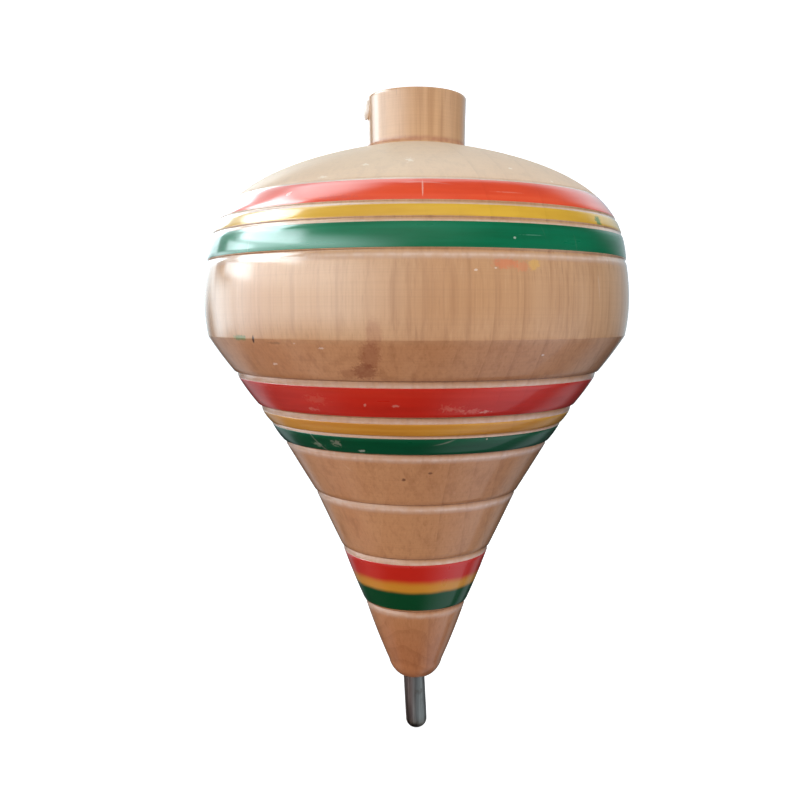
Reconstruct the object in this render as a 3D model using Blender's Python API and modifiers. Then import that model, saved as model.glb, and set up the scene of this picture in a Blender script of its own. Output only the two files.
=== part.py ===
"""Wooden throwing top: a body turned from one piece of wood, with a steel tip driven into its foot.

Metres, +Z up along the spin axis, and the origin on that axis at the level of the tip's end.
Run it with: blender --background --python part.py, or from the text editor.
"""

import math

import bpy

# ---- Driving dimensions: metres and degrees ---------------------------------------------------

# Lengths along the spin axis, stacked from the tip's end upwards
TIP_EXPOSED = 0.0115            # steel showing below the wood
CONE_LENGTH = 0.0680            # wood's lower end up to the ridge
BELLY_LENGTH = 0.0135           # ridge up to the shoulder line
SHOULDER_RISE = 0.0214          # shoulder line up to the head's base
HEAD_LENGTH = 0.0096            # head's base up to its flat top

# Belly: widest part of the body
BELLY_RADIUS = 0.0400
BELLY_WIDEST_RISE = 0.0060      # widest ring above the ridge
RIDGE_INSET = 0.0006            # ridge's radius is this much less than the belly's
SHOULDER_INSET = 0.0007         # and the shoulder line's this much less

# Head: the knob that the string is held against
HEAD_TOP_RADIUS = 0.0095
HEAD_BASE_RADIUS = 0.0093
HEAD_RIM_ROUND = 0.0004

# Dome: a curve from the shoulder line to the head's base, pulled out towards a corner
DOME_CORNER_INSET = 0.0010      # corner's radius is this much less than the shoulder line's
DOME_CORNER_RISE = 0.0150       # corner above the shoulder line
DOME_PULL = 0.73

# Cone: a curve from the foot to the ridge, pulled inwards towards the waist
WAIST_RADIUS = 0.0188
WAIST_DROP = 0.0290             # waist below the ridge
WAIST_PULL = 1.0
FOOT_RIM_WIDTH = 0.0003         # flat wood around the pilot hole, at its narrowest
FOOT_ROUND_HEIGHT = 0.0032      # the wood's lower end slopes in, and is rounded a little
FOOT_ROUND_WIDTH = 0.0025
FOOT_ROUND_INSET = 0.0005       # the corner it is pulled towards lies in from the cone
FOOT_ROUND_RISE = 0.0004        # and this much above the end
FOOT_ROUND_PULL = 0.5
LAND_BULGE = 0.00015            # each plain ring between two grooves swells by this much

# Grooves cut by the corner of the gouge, and where they lie
CONE_GROOVE_WIDTH = 0.0011
CONE_GROOVE_DEPTH = 0.0004
CONE_GROOVE_DROPS = (0.0069, 0.0132, 0.0161, 0.0201, 0.0299, 0.0411, 0.0526)  # below the ridge
SHOULDER_GROOVE_WIDTH = 0.0008
SHOULDER_GROOVE_DEPTH = 0.0002
SHOULDER_GROOVE_RISES = (0.0113, 0.0072, 0.0047, -0.0004)  # above the shoulder line
GROOVE_FLOOR_SHARE = 0.3        # the floor lies this far down a groove, under its steep wall

# Steel tip: a headless nail, point inwards, with its outer end ground round
TIP_RADIUS = 0.0021
TIP_END_RADIUS = 0.0019         # just above the round end
TIP_DOME_HEIGHT = 0.0018
TIP_EMBEDDED = 0.0240
TIP_POINT_LENGTH = 0.0060
TIP_POINT_RADIUS = 0.0003
TIP_LEAN_DEGREES = 3.0          # it was driven in a little crooked, towards +X

# Pilot hole: stands for a press fit, with a small gap between the two solids
BORE_CLEARANCE = 0.0003
BORE_POINT_DEGREES = 118.0      # full angle of the drill's point
BORE_OVERRUN = 0.0030           # how far the cutter reaches out of the wood

# Roundness of the mesh
BODY_STEPS = 56
TIP_STEPS = 24
ARC_POINTS = 4

# Finishes: display colour, roughness, metallic
WOOD_FINISH = ((0.76, 0.60, 0.43), 0.30, 0.0)
STEEL_FINISH = ((0.42, 0.43, 0.43), 0.35, 1.0)

# ---- Heights and radii that follow from them --------------------------------------------------

FOOT_HEIGHT = TIP_EXPOSED
RIDGE_HEIGHT = FOOT_HEIGHT + CONE_LENGTH
WIDEST_HEIGHT = RIDGE_HEIGHT + BELLY_WIDEST_RISE
SHOULDER_HEIGHT = RIDGE_HEIGHT + BELLY_LENGTH
RIDGE_RADIUS = BELLY_RADIUS - RIDGE_INSET
SHOULDER_RADIUS = BELLY_RADIUS - SHOULDER_INSET
FOOT_ROUND_TOP = FOOT_HEIGHT + FOOT_ROUND_HEIGHT
CONE_GROOVES = [RIDGE_HEIGHT - drop for drop in CONE_GROOVE_DROPS]
SHOULDER_GROOVES = [SHOULDER_HEIGHT + rise for rise in SHOULDER_GROOVE_RISES]
HEAD_BASE_HEIGHT = SHOULDER_HEIGHT + SHOULDER_RISE
BORE_RADIUS = TIP_RADIUS + BORE_CLEARANCE
LEAN_PIVOT_HEIGHT = TIP_EXPOSED / 2
BORE_MOUTH_SHIFT = LEAN_PIVOT_HEIGHT * math.tan(math.radians(TIP_LEAN_DEGREES))
FOOT_END_RADIUS = BORE_RADIUS + BORE_MOUTH_SHIFT + FOOT_RIM_WIDTH
FOOT_RADIUS = FOOT_END_RADIUS + FOOT_ROUND_WIDTH


def bow(share, start, corner, end, pull):
    """One coordinate of a cubic curve from start to end that is pulled towards a corner."""
    rest = 1 - share
    first = start + pull * (corner - start)
    second = end + pull * (corner - end)
    return (rest ** 3 * start + 3 * rest * rest * share * first
            + 3 * rest * share * share * second + share ** 3 * end)


def bow_radius(height, bottom, corner, top, pull):
    """Radius of such a curve at a height; bottom, corner and top are (radius, height)."""
    low, high = 0.0, 1.0
    for _ in range(30):
        middle = (low + high) / 2
        if bow(middle, bottom[1], corner[1], top[1], pull) < height:
            low = middle
        else:
            high = middle
    return bow(low, bottom[0], corner[0], top[0], pull)


def dome_radius(height):
    """Radius of the dome between the shoulder line and the head's base."""
    bottom = (SHOULDER_RADIUS, SHOULDER_HEIGHT)
    corner = (SHOULDER_RADIUS - DOME_CORNER_INSET, SHOULDER_HEIGHT + DOME_CORNER_RISE)
    top = (HEAD_BASE_RADIUS, HEAD_BASE_HEIGHT)
    return bow_radius(height, bottom, corner, top, DOME_PULL)


def belly_radius(height):
    """Radius of the crowned belly between the ridge and the shoulder line."""
    if height > WIDEST_HEIGHT:
        share = (height - WIDEST_HEIGHT) / (SHOULDER_HEIGHT - WIDEST_HEIGHT)
        return BELLY_RADIUS - SHOULDER_INSET * share * share
    share = (WIDEST_HEIGHT - height) / (WIDEST_HEIGHT - RIDGE_HEIGHT)
    return BELLY_RADIUS - RIDGE_INSET * share * share


def cone_radius(height):
    """Radius of the cone's hollow side, without the swell of its lands."""
    bottom = (FOOT_RADIUS, FOOT_ROUND_TOP)
    corner = (WAIST_RADIUS, RIDGE_HEIGHT - WAIST_DROP)
    top = (RIDGE_RADIUS, RIDGE_HEIGHT)
    return bow_radius(height, bottom, corner, top, WAIST_PULL)


def land_swell(height):
    """How far the plain ring at this height swells out between its two grooves."""
    edges = [RIDGE_HEIGHT, *CONE_GROOVES, FOOT_ROUND_TOP]
    for upper, lower in zip(edges, edges[1:]):
        if lower <= height <= upper:
            share = (height - lower) / (upper - lower)
            return LAND_BULGE * 4 * share * (1 - share)
    return 0.0


def body_radius(height):
    """Radius of the turned body at any height from the foot's rounding up to the dome."""
    if height > SHOULDER_HEIGHT:
        return dome_radius(height)
    if height >= RIDGE_HEIGHT:
        return belly_radius(height)
    return cone_radius(height) + land_swell(height)


# ---- Profiles: (radius, height) points from top to bottom -------------------------------------

def arc(centre_radius, centre_height, wide, high, start_degrees, end_degrees):
    """Points of an elliptical arc; 0 degrees points outwards and 90 degrees up."""
    points = []
    for i in range(ARC_POINTS + 1):
        angle = math.radians(start_degrees + (end_degrees - start_degrees) * i / ARC_POINTS)
        points.append((centre_radius + wide * math.cos(angle), centre_height + high * math.sin(angle)))
    return points


def groove(height, width, depth):
    """A groove's upper edge, floor and lower edge: a short steep wall over a long sloping one."""
    upper, lower = height + width / 2, height - width / 2
    floor = upper - width * GROOVE_FLOOR_SHARE
    return [(body_radius(upper), upper), (body_radius(floor) - depth, floor), (body_radius(lower), lower)]


def surface(upper, lower, count):
    """Points on the plain surface at count heights strictly between two heights."""
    heights = [upper + (lower - upper) * (i + 1) / (count + 1) for i in range(count)]
    return [(body_radius(height), height) for height in heights]


def head_profile():
    """Flat top, rounded rim and slightly flared side, down to the corner at its base."""
    top_height = HEAD_BASE_HEIGHT + HEAD_LENGTH
    rim_radius = HEAD_TOP_RADIUS - HEAD_RIM_ROUND
    rim = arc(rim_radius, top_height - HEAD_RIM_ROUND, HEAD_RIM_ROUND, HEAD_RIM_ROUND, 90, 0)
    return [(0.0, top_height), *rim, (HEAD_BASE_RADIUS, HEAD_BASE_HEIGHT)]


def shoulder_profile():
    """The dome from the head's base to the shoulder line, with its thin grooves."""
    half = SHOULDER_GROOVE_WIDTH / 2
    points = surface(HEAD_BASE_HEIGHT, SHOULDER_GROOVES[0] + half, 6)
    for height, following in zip(SHOULDER_GROOVES, SHOULDER_GROOVES[1:]):
        points += groove(height, SHOULDER_GROOVE_WIDTH, SHOULDER_GROOVE_DEPTH)
        points += surface(height - half, following + half, 2)
    return points + groove(SHOULDER_GROOVES[-1], SHOULDER_GROOVE_WIDTH, SHOULDER_GROOVE_DEPTH)


def belly_profile():
    """The crowned belly down to the ridge."""
    start = SHOULDER_GROOVES[-1] - SHOULDER_GROOVE_WIDTH / 2
    points = surface(start, WIDEST_HEIGHT, 3) + [(BELLY_RADIUS, WIDEST_HEIGHT)]
    return points + surface(WIDEST_HEIGHT, RIDGE_HEIGHT, 2) + [(RIDGE_RADIUS, RIDGE_HEIGHT)]


def foot_end():
    """The rounded slope from the cone's lower end to the flat wood around the tip."""
    corner = (FOOT_RADIUS - FOOT_ROUND_INSET, FOOT_HEIGHT + FOOT_ROUND_RISE)
    points = []
    for i in range(ARC_POINTS + 1):
        share = i / ARC_POINTS
        points.append((
            bow(share, FOOT_RADIUS, corner[0], FOOT_END_RADIUS, FOOT_ROUND_PULL),
            bow(share, FOOT_ROUND_TOP, corner[1], FOOT_HEIGHT, FOOT_ROUND_PULL),
        ))
    return points


def cone_profile():
    """The hollow cone with a shallow swell between its grooves, and the rounded foot."""
    half = CONE_GROOVE_WIDTH / 2
    points = surface(RIDGE_HEIGHT, CONE_GROOVES[0] + half, 2)
    for height, following in zip(CONE_GROOVES, [*CONE_GROOVES[1:], FOOT_ROUND_TOP - half]):
        points += groove(height, CONE_GROOVE_WIDTH, CONE_GROOVE_DEPTH)
        points += surface(height - half, following + half, 2)
    return points + foot_end() + [(0.0, FOOT_HEIGHT)]


def tip_profile():
    """The nail in its own frame: its outer end at height 0, its point upwards."""
    length = TIP_EXPOSED + TIP_EMBEDDED
    point = [(0.0, length), (TIP_POINT_RADIUS, length)]
    shank = [(TIP_RADIUS, length - TIP_POINT_LENGTH), (TIP_RADIUS, TIP_EXPOSED)]
    dome = arc(0.0, TIP_DOME_HEIGHT, TIP_END_RADIUS, TIP_DOME_HEIGHT, 0, -90)
    return point + shank + dome[:-1] + [(0.0, 0.0)]


def bore_profile():
    """The pilot hole's cutter in the tip's frame, with a drill point at its inner end."""
    depth = TIP_EXPOSED + TIP_EMBEDDED + BORE_CLEARANCE
    point_height = BORE_RADIUS / math.tan(math.radians(BORE_POINT_DEGREES / 2))
    mouth = TIP_EXPOSED - BORE_OVERRUN
    return [(0.0, depth + point_height), (BORE_RADIUS, depth), (BORE_RADIUS, mouth), (0.0, mouth)]


# ---- Objects ----------------------------------------------------------------------------------

def clear_scene():
    """Removes whatever the scene holds."""
    for old in list(bpy.data.objects):
        bpy.data.objects.remove(old)


def new_collection(name):
    """A collection of that name in the scene."""
    collection = bpy.data.collections.new(name)
    bpy.context.scene.collection.children.link(collection)
    return collection


def finish_material(name, finish):
    """A Principled material of one colour, roughness and metallic value."""
    colour, roughness, metallic = finish
    material = bpy.data.materials.new(name)
    material.use_nodes = True
    shader = material.node_tree.nodes["Principled BSDF"]
    shader.inputs["Base Color"].default_value = (*colour, 1.0)
    shader.inputs["Roughness"].default_value = roughness
    shader.inputs["Metallic"].default_value = metallic
    material.diffuse_color = (*colour, 1.0)
    return material


def turned_mesh(name, profile, steps):
    """The mesh of a profile turned about Z, smooth but for its real edges."""
    line = bpy.data.meshes.new(name + "_profile")
    points = [(radius, 0.0, height) for radius, height in profile]
    line.from_pydata(points, [(i, i + 1) for i in range(len(points) - 1)], [])
    blank = bpy.data.objects.new(name + "_profile", line)
    bpy.context.scene.collection.objects.link(blank)
    screw = blank.modifiers.new("Turn", "SCREW")
    screw.axis = "Z"
    screw.steps = screw.render_steps = steps
    screw.use_merge_vertices = True
    screw.merge_threshold = 0.00001
    evaluated = blank.evaluated_get(bpy.context.evaluated_depsgraph_get())
    mesh = bpy.data.meshes.new_from_object(evaluated)
    mesh.name = name
    bpy.data.objects.remove(blank)
    bpy.data.meshes.remove(line)
    mesh.shade_smooth()
    mesh.set_sharp_from_angle(angle=math.radians(25))
    return mesh


def turned_object(name, profile, steps, collection, parent, material=None):
    """A turned piece in its collection, parented, with its material."""
    piece = bpy.data.objects.new(name, turned_mesh(name, profile, steps))
    collection.objects.link(piece)
    piece.parent = parent
    if material is not None:
        piece.data.materials.append(material)
    return piece


def lean(piece):
    """Places a piece made in the tip's own frame, leaning about the middle of the exposed steel."""
    angle = math.radians(TIP_LEAN_DEGREES)
    piece.rotation_euler = (0.0, -angle, 0.0)
    piece.location = (
        LEAN_PIVOT_HEIGHT * math.sin(angle),
        0.0,
        LEAN_PIVOT_HEIGHT * (1 - math.cos(angle)),
    )


def make_body(collection, parent):
    """The wooden body: head, dome, belly and grooved cone in one turned piece."""
    profile = head_profile() + shoulder_profile() + belly_profile() + cone_profile()
    wood = finish_material("lacquered_wood", WOOD_FINISH)
    return turned_object("turned_body", profile, BODY_STEPS, collection, parent, wood)


def make_tip(collection, parent):
    """The steel tip, with its round end down and its point in the wood."""
    steel = finish_material("tip_steel", STEEL_FINISH)
    tip = turned_object("steel_tip", tip_profile(), TIP_STEPS, collection, parent, steel)
    lean(tip)
    return tip


def bore_body(body, cutters, parent):
    """Cuts the leaning pilot hole into the body's foot."""
    cutter = turned_object("pilot_hole_cutter", bore_profile(), TIP_STEPS, cutters, parent)
    lean(cutter)
    cutter.hide_render = True
    cutter.display_type = "WIRE"
    cut = body.modifiers.new("Pilot hole", "BOOLEAN")
    cut.operation = "DIFFERENCE"
    cut.solver = "EXACT"
    cut.object = cutter


def main():
    clear_scene()
    parts = new_collection("spinning_top")
    cutters = new_collection("cutters")
    axis = bpy.data.objects.new("spin_axis", None)
    parts.objects.link(axis)
    body = make_body(parts, axis)
    make_tip(parts, axis)
    bore_body(body, cutters, axis)


main()
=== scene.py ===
"""A throwing top: a turned wooden body with painted rings under clear lacquer, on a steel tip."""

import math

import bmesh
import bpy
from mathutils import Matrix, Vector, noise


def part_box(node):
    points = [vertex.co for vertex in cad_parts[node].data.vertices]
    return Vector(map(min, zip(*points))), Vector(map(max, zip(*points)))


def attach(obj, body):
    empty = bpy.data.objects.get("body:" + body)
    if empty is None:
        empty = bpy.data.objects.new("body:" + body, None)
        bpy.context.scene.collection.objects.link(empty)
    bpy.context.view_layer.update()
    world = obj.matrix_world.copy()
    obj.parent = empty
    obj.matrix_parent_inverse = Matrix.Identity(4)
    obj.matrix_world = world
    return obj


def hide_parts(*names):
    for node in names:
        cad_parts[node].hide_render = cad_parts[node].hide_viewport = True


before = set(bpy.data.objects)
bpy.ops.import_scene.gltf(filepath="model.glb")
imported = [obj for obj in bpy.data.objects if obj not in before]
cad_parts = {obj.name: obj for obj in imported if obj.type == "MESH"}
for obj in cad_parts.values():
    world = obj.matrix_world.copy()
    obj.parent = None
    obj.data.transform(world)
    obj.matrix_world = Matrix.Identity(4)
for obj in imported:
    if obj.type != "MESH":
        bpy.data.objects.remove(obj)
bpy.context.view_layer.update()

# ---- Sizes ------------------------------------------------------------------------------------

MM = 0.001

wood_low, wood_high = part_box("turned_body")
tip_low, tip_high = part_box("steel_tip")

FOOT_HEIGHT = wood_low.z
TOP_HEIGHT = wood_high.z
BELLY_RADIUS = wood_high.x
RIDGE_HEIGHT = FOOT_HEIGHT + 68.0 * MM
WIDEST_HEIGHT = RIDGE_HEIGHT + 6.0 * MM
SHOULDER_HEIGHT = RIDGE_HEIGHT + 13.5 * MM
HEAD_BASE_HEIGHT = SHOULDER_HEIGHT + 21.4 * MM
RIDGE_RADIUS = BELLY_RADIUS - 0.6 * MM
SHOULDER_RADIUS = BELLY_RADIUS - 0.7 * MM
HEAD_TOP_RADIUS = 9.5 * MM
HEAD_BASE_RADIUS = 9.3 * MM
HEAD_RIM_ROUND = 0.4 * MM

# The curves' corners, towards which the dome and the hollow cone are pulled
DOME_CORNER = (SHOULDER_RADIUS - 1.0 * MM, SHOULDER_HEIGHT + 15.0 * MM)
DOME_PULL = 0.73
WAIST_CORNER = (18.8 * MM, RIDGE_HEIGHT - 29.0 * MM)
WAIST_PULL = 1.0

# The foot and the hole for the tip
LEAN = math.radians(3.0)
LEAN_PIVOT_HEIGHT = FOOT_HEIGHT / 2
TIP_RADIUS = 2.1 * MM
HOLE_RADIUS = 2.2 * MM
HOLE_DEPTH = 2.5 * MM
FOOT_END_RADIUS = 2.81 * MM
FOOT_RADIUS = 5.31 * MM
FOOT_ROUND_TOP = FOOT_HEIGHT + 3.2 * MM
FOOT_CORNER = (FOOT_RADIUS - 0.5 * MM, FOOT_HEIGHT + 0.4 * MM)
FOOT_PULL = 0.5
LAND_BULGE = 0.15 * MM

# Grooves: upper edge, lower edge and depth in millimetres
CONE_GROOVES = (
    (73.05, 71.88, 0.42),
    (66.80, 65.65, 0.42),
    (63.48, 63.00, 0.22),
    (59.95, 58.90, 0.40),
    (50.15, 48.95, 0.42),
    (38.95, 37.65, 0.42),
    (27.50, 26.35, 0.40),
)
SHOULDER_GROOVES = (
    (104.50, 104.00, 0.08),
    (100.50, 99.90, 0.13),
    (98.00, 97.25, 0.14),
    (93.30, 92.20, 0.20),
)

# Painted rings: upper and lower edge in millimetres
PAINTED_RINGS = {
    "upper_red_ring": (103.95, 100.55),
    "upper_yellow_ring": (99.86, 98.03),
    "upper_green_ring": (97.22, 93.33),
    "middle_red_ring": (71.84, 66.84),
    "middle_yellow_ring": (65.61, 63.52),
    "middle_green_ring": (62.96, 59.99),
    "lower_blended_rings": (37.60, 27.75),
}
FILM_THICKNESS = 0.05 * MM
FILM_ROOT = 0.12 * MM

# Marks from play: degrees round from the front, height, half width and half height in
# millimetres, raggedness, colour and strength
WOOD_MARKS = (
    (-10.2, 80.2, 1.4, 3.0, 0.25, (0.40, 0.150, 0.075), 0.32),
    (-11.6, 77.0, 1.8, 2.6, 0.30, (0.30, 0.085, 0.040), 0.46),
    (-13.6, 74.6, 2.2, 1.7, 0.35, (0.22, 0.048, 0.022), 0.52),
    (-17.0, 74.2, 2.6, 0.9, 0.40, (0.30, 0.100, 0.045), 0.36),
    (19.0, 91.0, 2.3, 0.9, 0.60, (0.78, 0.200, 0.085), 0.50),
    (23.0, 90.6, 1.6, 0.8, 0.60, (0.78, 0.240, 0.100), 0.40),
    (26.0, 91.0, 1.2, 0.9, 0.60, (0.80, 0.480, 0.090), 0.50),
    (-48.4, 79.6, 2.0, 0.50, 0.60, (0.13, 0.270, 0.100), 0.75),
    (-42.8, 79.4, 0.22, 0.75, 0.10, (0.05, 0.030, 0.020), 0.95),
    (-36.0, 78.9, 1.6, 0.22, 0.60, (0.24, 0.110, 0.050), 0.45),
    (-39.6, 75.4, 0.60, 0.20, 1.10, (0.88, 0.740, 0.600), 0.65),
    (-23.2, 78.2, 0.50, 0.17, 1.10, (0.88, 0.740, 0.600), 0.65),
    (-30.0, 78.9, 0.28, 0.14, 0.60, (0.84, 0.700, 0.560), 0.50),
    (-16.0, 106.9, 0.70, 0.30, 0.90, (0.95, 0.850, 0.760), 0.70),
    (-27.0, 104.9, 0.90, 0.25, 0.90, (0.95, 0.850, 0.760), 0.70),
    (-3.0, 107.6, 0.60, 0.60, 1.30, (0.95, 0.860, 0.780), 0.65),
    (28.0, 106.6, 0.40, 0.30, 0.60, (0.96, 0.870, 0.780), 0.75),
    (40.0, 104.8, 0.30, 0.25, 0.60, (0.96, 0.870, 0.780), 0.70),
    (12.0, 90.0, 0.28, 0.16, 0.50, (0.92, 0.790, 0.660), 0.60),
    (16.5, 90.3, 0.24, 0.14, 0.50, (0.92, 0.790, 0.660), 0.60),
    (31.0, 77.0, 0.34, 0.18, 0.80, (0.86, 0.720, 0.590), 0.65),
    (-6.1, 55.2, 0.40, 0.35, 0.40, (0.14, 0.050, 0.025), 0.80),
    (5.0, 56.5, 0.35, 0.30, 0.40, (0.14, 0.050, 0.025), 0.75),
)
RING_MARKS = {
    "upper_red_ring": (
        (0.6, 102.3, 0.13, 1.50, 0.25, (0.95, 0.520, 0.420), 0.65),
        (-35.0, 102.4, 0.55, 0.40, 0.70, (0.95, 0.700, 0.600), 0.60),
        (22.0, 102.0, 2.60, 0.12, 0.40, (0.90, 0.400, 0.300), 0.25),
        (-20.0, 101.2, 3.20, 0.30, 0.80, (0.70, 0.090, 0.060), 0.60),
    ),
    "upper_yellow_ring": (
        (50.9, 98.7, 1.00, 0.85, 0.60, (0.040, 0.220, 0.050), 0.85),
    ),
    "upper_green_ring": (
        (21.4, 94.9, 0.25, 0.22, 0.30, (0.500, 0.620, 0.480), 0.70),
        (26.0, 95.4, 2.20, 0.10, 0.50, (0.200, 0.460, 0.320), 0.25),
    ),
    "middle_red_ring": (
        (-31.0, 69.6, 1.80, 0.80, 1.30, (0.700, 0.140, 0.080), 0.40),
        (-34.0, 67.8, 1.10, 0.25, 1.40, (0.760, 0.400, 0.300), 0.32),
        (-15.6, 68.9, 0.24, 0.28, 0.90, (0.780, 0.420, 0.320), 0.50),
        (-7.0, 68.9, 0.65, 0.18, 1.30, (0.780, 0.420, 0.320), 0.42),
        (8.0, 68.4, 1.00, 0.60, 1.60, (0.720, 0.160, 0.100), 0.40),
        (11.0, 68.2, 1.50, 0.45, 1.60, (0.720, 0.160, 0.100), 0.40),
        (16.0, 67.8, 1.70, 0.40, 1.60, (0.760, 0.240, 0.170), 0.38),
        (20.0, 67.6, 0.90, 0.26, 1.30, (0.800, 0.460, 0.360), 0.45),
    ),
    "middle_green_ring": (
        (-40.0, 61.0, 1.10, 0.40, 1.50, (0.300, 0.360, 0.240), 0.42),
        (-30.5, 61.6, 1.00, 0.55, 1.50, (0.400, 0.380, 0.280), 0.42),
        (-21.0, 60.5, 0.70, 0.24, 1.00, (0.500, 0.580, 0.460), 0.60),
    ),
}

BODY_STEPS = 320
TIP_STEPS = 96


# ---- The turned shape -------------------------------------------------------------------------

def bow(share, start, corner, end, pull):
    """One coordinate of a curve from start to end that is pulled towards a corner."""
    rest = 1 - share
    first = start + pull * (corner - start)
    second = end + pull * (corner - end)
    return (rest ** 3 * start + 3 * rest * rest * share * first
            + 3 * rest * share * share * second + share ** 3 * end)


def bow_radius(height, bottom, corner, top, pull):
    """Radius of such a curve at a height; bottom, corner and top are (radius, height)."""
    low, high = 0.0, 1.0
    for _ in range(34):
        middle = (low + high) / 2
        if bow(middle, bottom[1], corner[1], top[1], pull) < height:
            low = middle
        else:
            high = middle
    return bow(low, bottom[0], corner[0], top[0], pull)


def land_swell(height):
    """How far the plain ring at this height swells out between its two grooves."""
    edges = [RIDGE_HEIGHT]
    for upper, lower, _ in CONE_GROOVES:
        edges += [upper * MM, lower * MM]
    edges.append(FOOT_ROUND_TOP)
    for upper, lower in zip(edges[::2], edges[1::2]):
        if lower <= height <= upper:
            share = (height - lower) / (upper - lower)
            return LAND_BULGE * 4 * share * (1 - share)
    return 0.0


def land_radius(height):
    """Radius of the body at a height, as if it had no grooves."""
    if height > SHOULDER_HEIGHT:
        bottom = (SHOULDER_RADIUS, SHOULDER_HEIGHT)
        top = (HEAD_BASE_RADIUS, HEAD_BASE_HEIGHT)
        return bow_radius(height, bottom, DOME_CORNER, top, DOME_PULL)
    if height >= WIDEST_HEIGHT:
        share = (height - WIDEST_HEIGHT) / (SHOULDER_HEIGHT - WIDEST_HEIGHT)
        return BELLY_RADIUS - (BELLY_RADIUS - SHOULDER_RADIUS) * share * share
    if height >= RIDGE_HEIGHT:
        share = (WIDEST_HEIGHT - height) / (WIDEST_HEIGHT - RIDGE_HEIGHT)
        return BELLY_RADIUS - (BELLY_RADIUS - RIDGE_RADIUS) * share * share
    bottom = (FOOT_RADIUS, FOOT_ROUND_TOP)
    top = (RIDGE_RADIUS, RIDGE_HEIGHT)
    return bow_radius(height, bottom, WAIST_CORNER, top, WAIST_PULL) + land_swell(height)


def skin_point(height, lift=0.0):
    """(radius, height) of a point lifted off the groove-free surface along its normal."""
    step = 0.02 * MM
    upper = min(height + step, HEAD_BASE_HEIGHT)
    slope = (land_radius(upper) - land_radius(height - step)) / (upper - height + step)
    length = math.hypot(1.0, slope)
    return land_radius(height) + lift / length, height - lift * slope / length


def groove_share(height):
    """How deep the surface at a height lies in its groove: 0 on a land, 1 on the floor."""
    for upper, lower, _ in SHOULDER_GROOVES + CONE_GROOVES:
        share = (upper * MM - height) / ((upper - lower) * MM)
        if 0.0 < share < 0.24:
            wall = share / 0.24
            return wall * wall * (3 - 2 * wall)
        if 0.24 <= share <= 0.34:
            return 1.0
        if 0.34 < share < 1.0:
            return ((1.0 - share) / 0.66) ** 1.35
    return 0.0


def groove_part(height):
    """How far down its groove a height lies, from 0 to 1, or None on a land."""
    for upper, lower, _ in SHOULDER_GROOVES + CONE_GROOVES:
        if lower * MM <= height <= upper * MM:
            return (upper * MM - height) / ((upper - lower) * MM)
    return None


def groove_depth(height):
    """Depth of the groove that a height falls in, or nothing."""
    for upper, lower, depth in SHOULDER_GROOVES + CONE_GROOVES:
        if lower * MM <= height <= upper * MM:
            return depth * MM
    return 0.0


def spread(start, end, count):
    """Count values from start up to, but not including, end."""
    return [start + (end - start) * i / count for i in range(count)]


def body_heights():
    """Heights of the profile's points from the head's base down to the foot's rounding."""
    groove_shares = (0.0, 0.05, 0.10, 0.14, 0.19, 0.24, 0.29, 0.34, 0.42, 0.52, 0.64, 0.76, 0.88, 1.0)
    heights = []
    upper = HEAD_BASE_HEIGHT
    for top, bottom, _ in SHOULDER_GROOVES + CONE_GROOVES:
        land = top * MM
        if upper > RIDGE_HEIGHT > land:
            heights += spread(upper, RIDGE_HEIGHT + 0.3 * MM, 16)
            heights += spread(RIDGE_HEIGHT + 0.3 * MM, RIDGE_HEIGHT - 0.3 * MM, 8)
            upper = RIDGE_HEIGHT - 0.3 * MM
        count = max(4, round((upper - land) / (0.8 * MM)))
        if upper == HEAD_BASE_HEIGHT:
            heights += [upper - (upper - land) * (i / 24) ** 1.6 for i in range(24)]
        else:
            heights += spread(upper, land, count)
        heights += [land - share * (top - bottom) * MM for share in groove_shares[:-1]]
        upper = bottom * MM
    return heights + spread(upper, FOOT_ROUND_TOP, 14)


def arc(centre, wide, high, start_degrees, end_degrees, count):
    """Points of an elliptical arc about a centre; 0 degrees points outwards and 90 up."""
    points = []
    for i in range(count + 1):
        angle = math.radians(start_degrees + (end_degrees - start_degrees) * i / count)
        points.append((centre[0] + wide * math.cos(angle), centre[1] + high * math.sin(angle)))
    return points


def foot_end():
    """The rounded slope from the cone's lower end to the flat wood around the tip."""
    points = []
    for i in range(15):
        share = i / 14
        points.append((bow(share, FOOT_RADIUS, FOOT_CORNER[0], FOOT_END_RADIUS, FOOT_PULL),
                       bow(share, FOOT_ROUND_TOP, FOOT_CORNER[1], FOOT_HEIGHT, FOOT_PULL)))
    return points


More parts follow.
